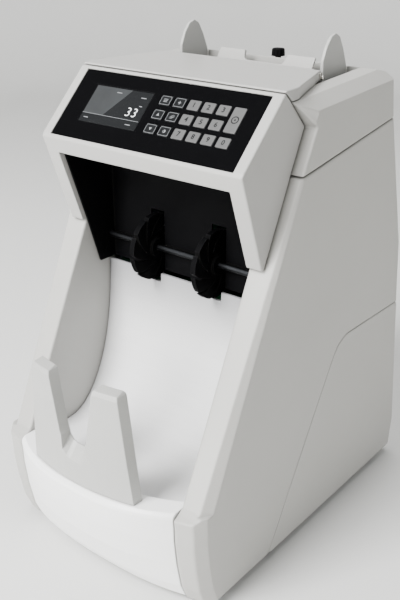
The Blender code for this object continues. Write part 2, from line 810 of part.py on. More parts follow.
def retardRoller():
    """The roller that holds back the second note, on an arm that hangs from the hopper's floor."""
    reach = feedRadius + retardRadius + 1.2
    tilt = math.radians(-42)
    centre = (feedAxis[0] + reach * math.cos(tilt), feedAxis[1] + reach * math.sin(tilt))
    stations = [(-12, retardRadius - 0.6), (-11.4, retardRadius), (11.4, retardRadius)]
    stations.append((12, retardRadius - 0.6))
    retard = piece("retard_roller", bar("X", centre, stations, 32), "rubber")
    arm = [centre, inHopper(80, 28), inHopper(84, 28), (centre[0], centre[1] - 5)]
    under = floorDrop + floorThickness + gap
    root = [inHopper(under, 24), inHopper(84, 24), inHopper(84, 28), inHopper(under, 28)]
    add(retard, prism("X", arm, -10, 10), prism("X", root, -22, 22))


def stackerWheel(name, low, high):
    """A disc with swept-back slots, open at the rim, that each take one note."""
    slots = 10
    depth = (1.0, 0.84, 0.68, 0.52, 0.44)
    sweep = (0.0, 0.17, 0.36, 0.60, 0.78)
    width = (0.115, 0.10, 0.09, 0.085, 0.06)
    points = []
    for k in range(slots):
        start = 2 * math.pi * k / slots
        land = 2 * math.pi / slots - width[0]
        points += [(start + width[0] + land * t / 4, wheelRadius) for t in range(4)]
        down = [(start + 2 * math.pi / slots + turn, wheelRadius * r) for turn, r in zip(sweep, depth)]
        up = [(a + w, r) for (a, r), w in zip(down, width)]
        points += down + up[:0:-1]
    outline = [(stackerAxis[0] + r * math.cos(a), stackerAxis[1] + r * math.sin(a)) for a, r in points]
    wheel = piece(name, prism("X", outline, low, high), "inner_black", (0, *stackerAxis))
    add(wheel, bar("X", stackerAxis, [(low - 2.5, 9), (high + 2.5, 9)], 32))
    cut(wheel, bar("X", stackerAxis, [(-half, shaftRadius + gap), (half, shaftRadius + gap)]))


def stacker():
    shaft("stacker_shaft", stackerAxis, pocketHalf - 0.6)
    stackerWheel("stacker_wheel_left", -wheelPlace - 2.5, -wheelPlace + 2.5)
    stackerWheel("stacker_wheel_right", wheelPlace - 2.5, wheelPlace + 2.5)


# stacker pocket

rampTop = at(0, 250)[1]
rampFoot = at(-100, 98)


def stackerBackPlate():
    rear = pocketRearY
    top = ceilingZ - 0.4
    outline = [
        (at(-86, 0)[0], top),
        at(-60.5, 294),
        at(-47, 252),
        (rear, at(0, 252)[1]),
        (rear, top),
    ]
    side = pocketHalf - 0.4
    liner = piece("stacker_back_plate", prism("X", outline, -side, side), "inner_black")
    cut(liner, box((-side + 2, side - 2), (at(-120, 0)[0], rear - 2), (at(0, 230)[1], top - 2)))
    for x in (-wheelPlace, wheelPlace):
        reach = wheelRadius + 2.5
        cut(liner, box((x - 8, x + 8), (rear - 8, rear + 8), (at(0, 230)[1], stackerAxis[1] + reach)))
    cut(liner, bar("X", stackerAxis, [(-half, bore), (half, bore)]))


def stackerRamp():
    high = (pocketRearY - 8.0, rampTop)
    acrossArc, upArc = high[0] - rampFoot[0], high[1] - rampFoot[1]
    steps = 14
    turns = [math.pi / 2 * k / steps for k in range(steps + 1)]
    surface = [(rampFoot[0] + acrossArc * math.sin(a), high[1] - upArc * math.cos(a)) for a in turns]
    under = [
        (rampFoot[0] + (acrossArc + wall) * math.sin(a), high[1] - (upArc + wall) * math.cos(a))
        for a in turns
    ]
    front = (frontY, rampFoot[1] - 2)
    outline = [front] + surface + under[::-1] + [(front[0], front[1] - wall)]
    side = pocketHalf - gap
    ramp = piece("stacker_ramp", prism("X", outline, -side, side), "shell_white")
    # The front edge runs along the inside of the front cover, under its ledge
    clear = wall + 2.4
    bow = frontRows[0][2]
    stations = [side * 1.02 * (k / 16 - 1) for k in range(33)]
    plan = [(x, frontFace(x, clear, bow)) for x in stations] + [(side + 5, 60), (-side - 5, 60)]
    combine(ramp, prism("Z", plan, 0, rampTop + 5), "INTERSECT")
    for x in (-wheelPlace, wheelPlace):
        slot = (stackerAxis[1] - wheelRadius - 2.5, rampTop + 5)
        cut(ramp, box((x - 8, x + 8), (at(-60, 0)[0], 30), slot))


def noteStop():
    base = ledgeZ + gap
    top = base + stopHeight
    rear = 4.0 + stopThickness
    profile = [(5.0, base), (3.8, base + 0.4 * stopHeight), (3.4, top - 4), (4.6, top)]
    profile += [(rear - 1, top + 2), (rear, top), (rear, base)]
    stop = piece("note_stop", bowed(profile, 18, 12), "stop_grey")
    notch = base + 23
    outline = [
        (-61.5, base - 5),
        (61.5, base - 5),
        (50, top + 3),
        (26.5, top + 3),
        (15, notch + 20),
        (-15, notch + 20),
        (-26.5, top + 3),
        (-50, top + 3),
    ]
    shape = rounded(outline, [0, 0, 7, 7, 6, 6, 7, 7], 4)
    combine(stop, prism("Y", shape, frontY - 20, 0), "INTERSECT")
    # The notch's floor falls to the front, so that a finger finds the lowest note
    near, far = frontY, frontY + rear + 6
    scoop = [(near, notch - 4), (far, notch - 4 + 1.1 * (far - near)), (far, top + 9), (near, top + 9)]
    stations = [(-14.5, 6), (-10, 1.5), (-5.5, 0), (5.5, 0), (10, 1.5), (14.5, 6)]
    rings = [[(x, y, z + lift * (z < top)) for y, z in scoop] for x, lift in stations]
    cut(stop, loft(rings))


# inside


def sideFrame(name, side):
    front = pocketRearY + 4
    outline = [
        (front, chassisTop + gap),
        (front, at(0, 355)[1]),
        (feedAxis[0] - 14, feedAxis[1] + 10),
        (pickupAxis[0] - 10, deckZ(pickupAxis[0]) - 4),
        (rodAxis[0] + 12, deckZ(pickupAxis[0]) - 4),
        (rodAxis[0] + 14, rodAxis[1] - 20),
        at(132, 250),
        at(150, 60),
        (at(150, 0)[0], chassisTop + gap),
    ]
    frame = piece(name, prism("X", outline, *sorted((side * frameInner, side * frameOuter))), "steel")
    for axis in (feedAxis, pickupAxis, rodAxis):
        cut(frame, bar("X", axis, [(-half, bore), (half, bore)]))
    for y, z, size in ((18, 120, 20), (95, 130, 20), (70, 250, 20)):
        hole = bar("X", at(y, z), [(side * frameInner - 9, size), (side * frameInner + 9, size)], 24)
        cut(frame, hole)


def driveMotor():
    y, z = at(95, 0)[0], chassisTop + gap + 24
    stations = [(-62, 18), (-61, 19), (-6, 19), (-5, 18), (-5, 7), (-2, 7), (-2, 2.5), (14, 2.5)]
    motor = piece("drive_motor", bar("X", (y, z), stations, 32), "steel")
    add(motor, box((-58, -10), (y - 15, y + 15), (chassisTop + gap, z)))


def powerSupply():
    x, y, z = (20, 84), (at(70, 0)[0], at(150, 0)[0]), chassisTop + gap
    supply = piece("power_supply", box(x, y, (z, z + 6)), "board_green")
    add(supply, box((26, 50), (y[0] + 8, y[0] + 34), (z + 5, z + 32)))
    add(supply, box((58, 78), (y[0] + 10, y[0] + 30), (z + 5, z + 24)))
    for offset in (44, 60):
        add(supply, bar("Z", (36, y[0] + offset), [(z + 5, 7), (z + 30, 7)], 16))


def mainBoard():
    y = at(40, 0)[0]
    low, high = at(0, 60)[1], at(0, 300)[1]
    side = frameInner - gap
    board = piece("main_board", box((-side, side), (y, y + 1.6), (low, high)), "board_green")
    add(board, box((-60, -20), (y - 4, y + 1), (low + 30, low + 60)))
    add(board, box((10, 34), (y - 6, y + 1), (low + 80, low + 104)))
    add(board, box((40, 70), (y - 9, y + 1), (low + 20, low + 34)))


def inletSocket():
    face = rearY(62) + 1
    outer = box((-83.5, -56.5), (face - 24, face), (48.5, 75.5))
    socket = piece("power_inlet", outer, "inner_black")
    cut(socket, box((-81, -59), (face - 17, face + 5), (54, 70)))
    for x, z in ((-70, 66), (-77, 60), (-63, 60)):
        add(socket, box((x - 1, x + 1), (face - 18, face - 3), (z - 2, z + 2)))


def powerSwitch():
    face = rearY(62)
    pivot = (face - 5, 62.0)
    outline = [
        (face - 12, 54),
        (face + 2.2, 51.6),
        (face + 2.4, 53),
        (face + 0.4, 62),
        (face - 0.2, 72.4),
        (face - 3.0, 72.6),
        (face - 12, 70),
    ]
    piece("power_switch", prism("X", outline, -41.5, -28.5), "inner_black", (-35, *pivot))


# assembly

for old in list(bpy.data.objects):
    bpy.data.objects.remove(old, do_unlink=True)

chassisBase()
feet()
frontCover()
sideCover("side_cover_left", -1)
sideCover("side_cover_right", 1)
lowerPanel("lower_panel_left", -1)
lowerPanel("lower_panel_right", 1)
rearCover()
rearDoor()
upperHousing()
topCover()
panelEmpty = makePanelFrame()
headWindow(headHousing(), panelEmpty)
controlPanel(panelEmpty)
display(panelEmpty)
keys(panelEmpty)
controlBoard(panelEmpty)
hopperFloor()
hopperBackrest()
noteGuide("note_guide_left", -1)
noteGuide("note_guide_right", 1)
guideRod()
thicknessKnob()
pickupRollers()
feedRollers()
retardRoller()
stacker()
stackerBackPlate()
stackerRamp()
noteStop()
sideFrame("side_frame_left", -1)
sideFrame("side_frame_right", 1)
driveMotor()
powerSupply()
mainBoard()
inletSocket()
powerSwitch()
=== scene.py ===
import math

import bmesh
import bpy
from mathutils import Matrix, Vector


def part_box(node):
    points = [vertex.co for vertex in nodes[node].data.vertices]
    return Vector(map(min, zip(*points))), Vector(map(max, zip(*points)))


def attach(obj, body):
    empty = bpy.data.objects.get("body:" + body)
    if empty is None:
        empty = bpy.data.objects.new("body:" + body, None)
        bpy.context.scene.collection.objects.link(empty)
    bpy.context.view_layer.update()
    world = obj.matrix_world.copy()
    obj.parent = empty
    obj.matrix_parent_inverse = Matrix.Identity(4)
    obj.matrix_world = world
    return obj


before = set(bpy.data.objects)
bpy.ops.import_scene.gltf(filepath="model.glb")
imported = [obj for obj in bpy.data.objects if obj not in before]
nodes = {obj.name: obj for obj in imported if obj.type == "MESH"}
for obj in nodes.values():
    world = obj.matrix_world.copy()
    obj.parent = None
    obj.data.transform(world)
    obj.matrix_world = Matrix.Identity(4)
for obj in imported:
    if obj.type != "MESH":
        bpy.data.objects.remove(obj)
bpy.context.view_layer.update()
mm = 0.001
weldLimit = 0.001 * mm  # points closer than this are one point
print("frame loaded:", len(nodes), "nodes")

# camera first of all: azimuth from the front towards +X, distances in mm
camera = {
    "azimuth": 38.76,
    "elevation": 24.8,
    "distance": 913.7,
    "target": (-40.7, 39.3, 185.2),
    "lens": 52.34,
    "shift": (0.003, 0.012),
}


def placeCamera(c):
    turn, rise = math.radians(c["azimuth"]), math.radians(c["elevation"])
    back = Vector((math.sin(turn) * math.cos(rise), -math.cos(turn) * math.cos(rise), math.sin(rise)))
    data = bpy.data.cameras.new("studioCamera")
    data.lens = c["lens"]
    data.sensor_width = 36
    data.shift_x, data.shift_y = c["shift"]
    seen = bpy.data.objects.new("studioCamera", data)
    seen.location = (Vector(c["target"]) + back * c["distance"]) * mm
    seen.rotation_mode = "QUATERNION"
    seen.rotation_quaternion = (-back).to_track_quat("-Z", "Y")
    bpy.context.scene.collection.objects.link(seen)
    bpy.context.scene.camera = seen


placeCamera(camera)


def toLinear(code, alpha=1.0):
    channels = [int(code[i : i + 2], 16) / 255 for i in (0, 2, 4)]
    return tuple(c / 12.92 if c <= 0.04045 else ((c + 0.055) / 1.055) ** 2.4 for c in channels) + (alpha,)


def addNode(tree, kind, settings=None, links=None):
    added = tree.nodes.new(kind)
    for name, value in (settings or {}).items():
        if name in added.inputs:
            added.inputs[name].default_value = value
        else:
            setattr(added, name, value)
    for name, source in (links or {}).items():
        tree.links.new(source, added.inputs[name])
    return added


def perMetre(millimetres):
    return 1000.0 / millimetres


def cloudsOf(tree, place, size, detail=3.0):
    settings = {"Scale": perMetre(size), "Detail": detail, "Roughness": 0.55}
    return addNode(tree, "ShaderNodeTexNoise", settings, {"Vector": place}).outputs["Fac"]


def mixedTone(tree, under, code, amount):
    tones = addNode(tree, "ShaderNodeMix", {"data_type": "RGBA"}, {"Factor": amount, 6: under})
    tones.inputs[7].default_value = toLinear(code)
    return tones.outputs[2]


# Every finish is built up the same way: colour drift, painted shade in the corners (paper dust on the dull
# black ABS), edges painted paler as wear and as a painted highlight, roughness in wiped patches with fine
# scratches, and the grain of the tool surface.
def finishOf(name, look):
    made = bpy.data.materials.new(name)
    made.use_nodes = True
    tree = made.node_tree
    tree.nodes.clear()
    out = addNode(tree, "ShaderNodeOutputMaterial")
    place = addNode(tree, "ShaderNodeTexCoord").outputs["Object"]
    shader = addNode(tree, "ShaderNodeBsdfPrincipled", {"Metallic": look.get("metallic", 0.0)})
    shader.inputs["IOR"].default_value = look.get("ior", 1.5)
    shader.inputs["Specular IOR Level"].default_value = look.get("specular", 0.5)
    tree.links.new(shader.outputs["BSDF"], out.inputs["Surface"])

    drift = cloudsOf(tree, place, look["driftSize"])
    base = addNode(tree, "ShaderNodeRGB")
    base.outputs[0].default_value = toLinear(look["colour"])
    tone = mixedTone(tree, base.outputs[0], look["shade"], drift)
    # painted shade: the tone darkens with height towards the given grey
    if "paintedShadeByHeight" in look:
        low, high, code = look["paintedShadeByHeight"]  # heights in mm between which the tone turns to this one
        height = addNode(tree, "ShaderNodeSeparateXYZ", None, {"Vector": place}).outputs["Z"]
        span = {"From Min": low * mm, "From Max": high * mm, "interpolation_type": "SMOOTHSTEP"}
        rise = addNode(tree, "ShaderNodeMapRange", span, {"Value": height})
        tone = mixedTone(tree, tone, code, rise.outputs["Result"])
    # painted shade: darker in corners and recesses, masked by ambient occlusion; where the tone is paler,
    # as on the dull black ABS, it is paper dust
    if "cornerShadeAndDust" in look:
        reach, code, amount = look["cornerShadeAndDust"]
        hidden = addNode(tree, "ShaderNodeAmbientOcclusion", {"samples": 4, "Distance": reach * mm})
        span = {"From Min": 0.3, "From Max": 0.85, "To Min": amount, "To Max": 0.0}
        cornerShadeAndDustMask = addNode(tree, "ShaderNodeMapRange", span, {"Value": hidden.outputs["AO"]})
        tone = mixedTone(tree, tone, code, cornerShadeAndDustMask.outputs["Result"])

    bent = None
    if "edge" in look:
        # the rounding every moulded or cut edge has
        rounding = {"samples": 5, "Radius": look["edge"] * mm}
        bent = addNode(tree, "ShaderNodeBevel", rounding).outputs["Normal"]
    # edges painted paler: partly wear where cloths and hands polish them, partly a painted highlight along
    # every edge
    if "wear" in look:
        code, amount = look["wear"]
        flat = addNode(tree, "ShaderNodeNewGeometry").outputs["Normal"]
        agree = addNode(tree, "ShaderNodeVectorMath", {"operation": "DOT_PRODUCT"}, {0: flat, 1: bent})
        span = {"From Min": 0.8, "From Max": 0.99, "To Min": amount, "To Max": 0.0}
        onEdge = addNode(tree, "ShaderNodeMapRange", span, {"Value": agree.outputs["Value"]})
        broken = cloudsOf(tree, place, look["rubSize"] / 4)
        both = {0: onEdge.outputs["Result"], 1: broken}
        wornAndHighlightedEdges = addNode(tree, "ShaderNodeMath", {"operation": "MULTIPLY"}, both)
        tone = mixedTone(tree, tone, code, wornAndHighlightedEdges.outputs["Value"])
    tree.links.new(tone, shader.inputs["Base Color"])

    wiped = cloudsOf(tree, place, look["rubSize"], 4.0)
    low, high = look["roughness"]
    gloss = addNode(tree, "ShaderNodeMapRange", {"To Min": low, "To Max": high}, {"Value": wiped})
    gloss = gloss.outputs["Result"]
    if "scratch" in look:
        # hairline scratches from wiping, about a centimetre long and under a millimetre wide
        strokes = {"Rotation": (0.3, 0.5, 0.7), "Scale": (1, 14, 14)}
        drawn = addNode(tree, "ShaderNodeMapping", strokes, {"Vector": place})
        lines = cloudsOf(tree, drawn.outputs["Vector"], 9.0, 1.0)
        span = {"From Min": 0.66, "From Max": 0.72, "To Min": 0.0, "To Max": look["scratch"]}
        few = addNode(tree, "ShaderNodeMapRange", span, {"Value": lines}).outputs["Result"]
        gloss = addNode(tree, "ShaderNodeMath", {"operation": "ADD"}, {0: gloss, 1: few}).outputs["Value"]
    tree.links.new(gloss, shader.inputs["Roughness"])

    grainPlace = place
    if "brush" in look:
        squeezed = addNode(tree, "ShaderNodeMapping", {"Scale": look["brush"]}, {"Vector": place})
        grainPlace = squeezed.outputs["Vector"]
    grain = cloudsOf(tree, grainPlace, look["grainSize"], 2.0)
    relief = {"Strength": look["grainStrength"], "Distance": look["grainDepth"] * mm}
    bump = addNode(tree, "ShaderNodeBump", relief, {"Height": grain})
    if bent:
        tree.links.new(bent, bump.inputs["Normal"])
    tree.links.new(bump.outputs["Normal"], shader.inputs["Normal"])
    return made


# Sizes in mm. Real spark-eroded grain is about 0.15 mm: all grains under 0.5 mm are drawn
# coarser than life, so that they show.
# in each finish the corner entry (reach in mm, tone, amount) is painted shade in corners and recesses,
# except on the dull black ABS, where its paler tone is paper dust; the paler edge tone (tone, amount) is
# partly wear and partly a painted highlight
finishes = {
    # injection-moulded ABS from a spark-eroded tool: even, slightly sandy, no sharp highlights
    "texturedGreyAbs": {
        "colour": "ACABA7",
        "shade": "A4A39F",
        "driftSize": 90,
        "roughness": (0.34, 0.46),
        "rubSize": 60,
        "scratch": 0.12,
        "grainSize": 0.9,
        "grainStrength": 0.25,
        "grainDepth": 0.06,
        "cornerShadeAndDust": (5, "5E5D58", 0.75),
        "edge": 1.3,
        "wear": ("D2D1CE", 0.5),
    },
    # the head is the same ABS in a finer, slightly warmer texture
    "fineGreyAbs": {
        "colour": "A6A5A2",
        "shade": "9F9E9B",
        "driftSize": 80,
        "roughness": (0.3, 0.42),
        "rubSize": 50,
        "scratch": 0.1,
        "grainSize": 0.8,
        "grainStrength": 0.18,
        "grainDepth": 0.05,
        "cornerShadeAndDust": (4, "6A6965", 0.6),
        "edge": 1.5,
        "wear": ("DEDDDB", 0.5),
    },
    # white ABS from a polished tool: broad soft highlights along the bends
    "satinWhiteAbs": {
        "colour": "F7F7F6",
        "shade": "F2F2F1",
        "driftSize": 110,
        "roughness": (0.26, 0.38),
        "rubSize": 70,
        "scratch": 0.1,
        "grainSize": 2.2,
        "grainStrength": 0.06,
        "grainDepth": 0.05,
        "cornerShadeAndDust": (4, "8B8A86", 0.5),
        "edge": 1.4,
    },
    # the pocket's slide: the same white ABS, with painted shade greying it towards its top
    "slideWhiteAbs": {
        "colour": "E0E0E0",
        "shade": "D9D9D9",
        "driftSize": 60,
        "roughness": (0.24, 0.4),
        "rubSize": 30,
        "scratch": 0.16,
        "grainSize": 1.8,
        "grainStrength": 0.08,
        "grainDepth": 0.05,
        "cornerShadeAndDust": (7, "77767A", 0.6),
        "paintedShadeByHeight": (175, 262, "8A8A8C"),
        "edge": 1.2,
    },
    # note stop and guides: pale grey polystyrene, softly polished
    "paleGreyStyrene": {
        "colour": "A8A8A5",
        "shade": "A1A19E",
        "driftSize": 45,
        "roughness": (0.32, 0.44),
        "rubSize": 30,
        "scratch": 0.12,
        "grainSize": 1.2,
        "grainStrength": 0.1,
        "grainDepth": 0.05,
        "cornerShadeAndDust": (4, "7A7A78", 0.5),
        "edge": 1.6,
        "wear": ("E2E2E1", 0.5),
    },
    # screen-printed polyester film laid on the head: deep black and glossy, with a few prints on it
    "glossBlackFilm": {
        "colour": "060607",
        "shade": "080809",
        "driftSize": 60,
        "roughness": (0.1, 0.2),
        "rubSize": 14,
        "scratch": 0.1,
        "grainSize": 6.0,
        "grainStrength": 0.03,
        "grainDepth": 0.03,
        "specular": 0.08,
        "edge": 0.4,
        "wear": ("5A5B5D", 0.8),
    },
    # black ABS inside the pocket, dull, with paper dust in its corners
    "dullBlackAbs": {
        "colour": "030304",
        "shade": "070708",
        "driftSize": 25,
        "roughness": (0.55, 0.75),
        "rubSize": 18,
        "grainSize": 0.9,
        "grainStrength": 0.2,
        "grainDepth": 0.06,
        "specular": 0.05,
        "ior": 1.4,
        "cornerShadeAndDust": (3, "22211F", 0.5),
        "edge": 0.6,
        "wear": ("3A3A3B", 0.8),
    },
    # keycaps: grey polycarbonate, satin, polished where fingers fall
    "greyKeycap": {
        "colour": "4C4C4C",
        "shade": "464646",
        "driftSize": 9,
        "roughness": (0.36, 0.52),
        "rubSize": 7,
        "grainSize": 0.7,
        "grainStrength": 0.12,
        "grainDepth": 0.04,
        "edge": 0.25,
        "wear": ("8A8A8A", 0.8),
    },
    # the same caps in black
    "blackKeycap": {
        "colour": "0B0C0D",
        "shade": "101113",
        "driftSize": 9,
        "roughness": (0.26, 0.4),
        "rubSize": 7,
        "grainSize": 0.7,
        "grainStrength": 0.1,
        "grainDepth": 0.03,
        "specular": 0.25,
        "edge": 0.25,
        "wear": ("2A2B2D", 0.4),
    },
    # ground rubber rollers and feet: matt, with turning marks round them
    "groundRubber": {
        "colour": "19191A",
        "shade": "262627",
        "driftSize": 8,
        "roughness": (0.75, 0.92),
        "rubSize": 5,
        "grainSize": 0.8,
        "grainStrength": 0.5,
        "grainDepth": 0.08,
        "brush": (3.0, 0.6, 0.6),
        "edge": 0.4,
        "wear": ("4A4947", 0.7),
    },
    # zinc-plated sheet steel: cold grey, faintly cloudy
    "zincSteel": {
        "colour": "B4B8BB",
        "shade": "A3A7AB",
        "driftSize": 12,
        "roughness": (0.28, 0.42),
        "rubSize": 9,
        "scratch": 0.15,
        "grainSize": 3.0,
        "grainStrength": 0.12,
        "grainDepth": 0.03,
        "metallic": 1.0,
        "edge": 0.4,
    },
    # ground steel shafts: bright, fine scratches round the bar
    "groundSteel": {
        "colour": "C6C8CA",
        "shade": "B9BBBD",
        "driftSize": 10,
        "roughness": (0.16, 0.28),
        "rubSize": 6,
        "grainSize": 0.8,
        "grainStrength": 0.2,
        "grainDepth": 0.02,
        "metallic": 1.0,
        "brush": (4.0, 0.4, 0.4),
    },
    # the pocket's shaft is blackened by an oil bath: dark, with a low sheen
    "oilBlackSteel": {
        "colour": "2A2B2D",
        "shade": "1C1D1E",
        "driftSize": 10,
        "roughness": (0.34, 0.5),
        "rubSize": 6,
        "grainSize": 0.8,
        "grainStrength": 0.2,
        "grainDepth": 0.02,
        "metallic": 1.0,
        "brush": (4.0, 0.4, 0.4),
    },
    # nickel plate on pins, screws and contacts: warm white metal, small dull spots
    "nickelPlate": {
        "colour": "D2D0CB",
        "shade": "BDBBB5",
        "driftSize": 2,
        "roughness": (0.14, 0.34),
        "rubSize": 1.5,
        "grainSize": 0.6,
        "grainStrength": 0.12,
        "grainDepth": 0.01,
        "metallic": 1.0,
        "edge": 0.15,
    },
    # printed polyester label: silver, brushed along X
    "brushedLabel": {
        "colour": "AEB0B2",
        "shade": "9FA1A4",
        "driftSize": 20,
        "roughness": (0.3, 0.42),
        "rubSize": 10,
        "grainSize": 1.2,
        "grainStrength": 0.3,
        "grainDepth": 0.02,
        "brush": (0.1, 5.0, 5.0),
        "metallic": 0.8,
        "edge": 0.1,
    },
    # solder mask over woven glass cloth
    "boardGreen": {
        "colour": "1C5534",
        "shade": "18492D",
        "driftSize": 14,
        "roughness": (0.3, 0.45),
        "rubSize": 10,
        "grainSize": 0.8,
        "grainStrength": 0.3,
        "grainDepth": 0.04,
    },
    # display window: smoky acrylic, evenly dark
    "smokyAcrylic": {
        "colour": "161718",
        "shade": "1C1D1E",
        "driftSize": 40,
        "roughness": (0.12, 0.2),
        "rubSize": 20,
        "grainSize": 5.0,
        "grainStrength": 0.03,
        "grainDepth": 0.02,
        "specular": 0.25,
        "edge": 0.2,
    },
    # painted reflection: a paler patch of glare over the window's upper left, under the acrylic
    "paintedGlareTone": {
        "colour": "2A2B2C",
        "shade": "383A3B",
        "driftSize": 18,
        "roughness": (0.16, 0.24),
        "rubSize": 12,
        "grainSize": 5.0,
        "grainStrength": 0.02,
        "grainDepth": 0.02,
        "specular": 0.25,
    },
    # lit figures of the display: white, faintly uneven like any liquid crystal
    "litFigure": {
        "colour": "EDEFF0",
        "shade": "D9DCDE",
        "driftSize": 1.5,
        "roughness": (0.3, 0.4),
        "rubSize": 2,
        "grainSize": 0.5,
        "grainStrength": 0.05,
        "grainDepth": 0.01,
    },
    # printed ink on the caps, flat, worn thin here and there
    "blackInk": {
        "colour": "0C0C0D",
        "shade": "1A1A1B",
        "driftSize": 1.2,
        "specular": 0.1,
        "roughness": (0.5, 0.62),
        "rubSize": 3,
        "grainSize": 0.5,
        "grainStrength": 0.1,
        "grainDepth": 0.02,
    },
    # the same ink in grey
    "greyInk": {
        "colour": "7C7E80",
        "shade": "6A6C6E",
        "driftSize": 1.2,
        "roughness": (0.45, 0.6),
        "rubSize": 3,
        "grainSize": 0.5,
        "grainStrength": 0.1,
        "grainDepth": 0.02,
    },
}

# the side covers and lower panels have broader edges than the other textured pieces
finishes["broadEdgeAbs"] = dict(finishes["texturedGreyAbs"], edge=3.0)

materials = {name: finishOf(name, look) for name, look in finishes.items()}
print("finishes made:", len(materials))

# What each of the frame's pieces is finished in, and how wide its edges are eased, in mm
dressing = {
    "texturedGreyAbs": (1.1, ["rear_cover", "rear_door", "upper_housing"]),
    "broadEdgeAbs": (
        1.1,
        ["side_cover_left", "side_cover_right", "lower_panel_left", "lower_panel_right"],
    ),
    "fineGreyAbs": (1.1, ["head_housing", "hopper_backrest", "top_cover"]),
    "satinWhiteAbs": (0.9, ["front_cover"]),
    "slideWhiteAbs": (0.9, ["stacker_ramp"]),
    "paleGreyStyrene": (0.8, ["note_stop", "note_guide_left", "note_guide_right"]),
    "glossBlackFilm": (0.2, ["control_panel"]),
    "smokyAcrylic": (0.0, ["display"]),
    "dullBlackAbs": (
        0.35,
        ["stacker_back_plate", "stacker_wheel_left", "stacker_wheel_right", "hopper_floor"]
        + ["thickness_knob", "power_inlet", "power_switch"],
    ),
    "groundRubber": (
        0.0,
        ["pickup_roller_left", "pickup_roller_right", "feed_roller", "retard_roller"]
        + [f"foot_{end}_{side}" for end in ("front", "rear") for side in ("left", "right")],
    ),
    "groundSteel": (0.0, ["guide_rod", "pickup_shaft", "feed_shaft"]),
    "oilBlackSteel": (0.0, ["stacker_shaft"]),
    "zincSteel": (0.25, ["chassis_base", "side_frame_left", "side_frame_right", "drive_motor"]),
    "boardGreen": (0.0, ["control_board", "power_supply", "main_board"]),
    "greyKeycap": (0.18, ["key_start"] + [f"key_{n}" for n in range(10)]),
    "blackKeycap": (0.18, ["key_menu", "key_add", "key_up", "key_down", "key_batch", "key_mode"]),
}


# edges sharper than this many degrees are eased; the weld closes seams between facets, in mm
easing = {"weld": 0.01, "segments": 3, "sharperThan": 32}


def softenEdges(target, width):
    joined = target.modifiers.new("Join", "WELD")
    joined.merge_threshold = easing["weld"] * mm
    edge = target.modifiers.new("Edge", "BEVEL")
    edge.width = width * mm
    edge.segments = easing["segments"]
    edge.limit_method = "ANGLE"
    edge.angle_limit = math.radians(easing["sharperThan"])
    edge.harden_normals = True
    edge.use_clamp_overlap = True


for finish, (width, names) in dressing.items():
    for name in names:
        nodes[name].data.materials.clear()
        nodes[name].data.materials.append(materials[finish])
        if width:
            softenEdges(nodes[name], width)
print("frame dressed")


def addPiece(name, bm, finish, body, width=0.0):
    bmesh.ops.recalc_face_normals(bm, faces=bm.faces)
    mesh = bpy.data.meshes.new(name)
    bm.to_mesh(mesh)
    bm.free()
    added = bpy.data.objects.new(name, mesh)
    bpy.context.scene.collection.objects.link(added)
    mesh.materials.append(materials[finish])
    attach(added, body)
    if width:
        softenEdges(added, width)
    return added


# points in mm in a place of their own, such as a keycap's top
def addLoft(bm, rings, place, capped=True):
    rows = [[bm.verts.new(place @ (Vector(p) * mm)) for p in ring] for ring in rings]
    count = len(rows[0])
    for low, high in zip(rows, rows[1:]):
        for i in range(count):
            j = (i + 1) % count
            bm.faces.new((low[i], low[j], high[j], high[i]))
    if capped:
        bm.faces.new(rows[0])
        bm.faces.new(rows[-1])


def addSlab(bm, outline, low, high, place):
    addLoft(bm, [[(x, y, z) for x, y in outline] for z in (low, high)], place)


def addFrameSlab(bm, outer, inner, low, high, place):
    rings = [(outer, low), (outer, high), (inner, high), (inner, low), (outer, low)]
    addLoft(bm, [[(x, y, z) for x, y in ring] for ring, z in rings], place, capped=False)
    bmesh.ops.remove_doubles(bm, verts=bm.verts, dist=weldLimit)


def roundedBox(width, height, radius, centre=(0, 0), steps=4):
    points = []
    for k, (sx, sy) in enumerate(((1, 1), (-1, 1), (-1, -1), (1, -1))):
        for i in range(steps + 1):
            a = math.pi / 2 * (k + i / steps)
            points.append(
                (
                    centre[0] + sx * (width / 2 - radius) + radius * math.cos(a),
                    centre[1] + sy * (height / 2 - radius) + radius * math.sin(a),
                )
            )
    return points


def circle(radius, centre=(0, 0), steps=32):
    angles = [2 * math.pi * i / steps for i in range(steps)]
    return [(centre[0] + radius * math.cos(a), centre[1] + radius * math.sin(a)) for a in angles]


def addFigures(bm, text, size, low, high, place, centre=(0, 0), bolder=0.0, spacing=1.0):
    data = bpy.data.curves.new("figures", "FONT")
    data.body = text
    data.size = size * mm
    data.align_x = "CENTER"
    data.align_y = "CENTER"
    data.offset = bolder * mm
    data.space_character = spacing
    data.extrude = (high - low) / 2 * mm
    data.resolution_u = 3
    holder = bpy.data.objects.new("figures", data)
    bpy.context.scene.collection.objects.link(holder)
    bpy.context.view_layer.update()
    shape = bpy.data.meshes.new_from_object(holder.evaluated_get(bpy.context.evaluated_depsgraph_get()))
    bpy.data.objects.remove(holder)
    shape.transform(place @ Matrix.Translation(Vector((centre[0], centre[1], (low + high) / 2)) * mm))
    bm.from_mesh(shape)
    bpy.data.meshes.remove(shape)
    bpy.data.curves.remove(data)
    bmesh.ops.remove_doubles(bm, verts=bm.verts, dist=weldLimit)


# the panel's own axes: X across, Y up the slope, Z out of it
across = Vector((1, 0, 0))
panelOut = max((p for p in nodes["control_panel"].data.polygons if p.normal.z > 0.3), key=lambda p: p.area)
panelOut = panelOut.normal.copy()
upSlope = panelOut.cross(across).normalized()


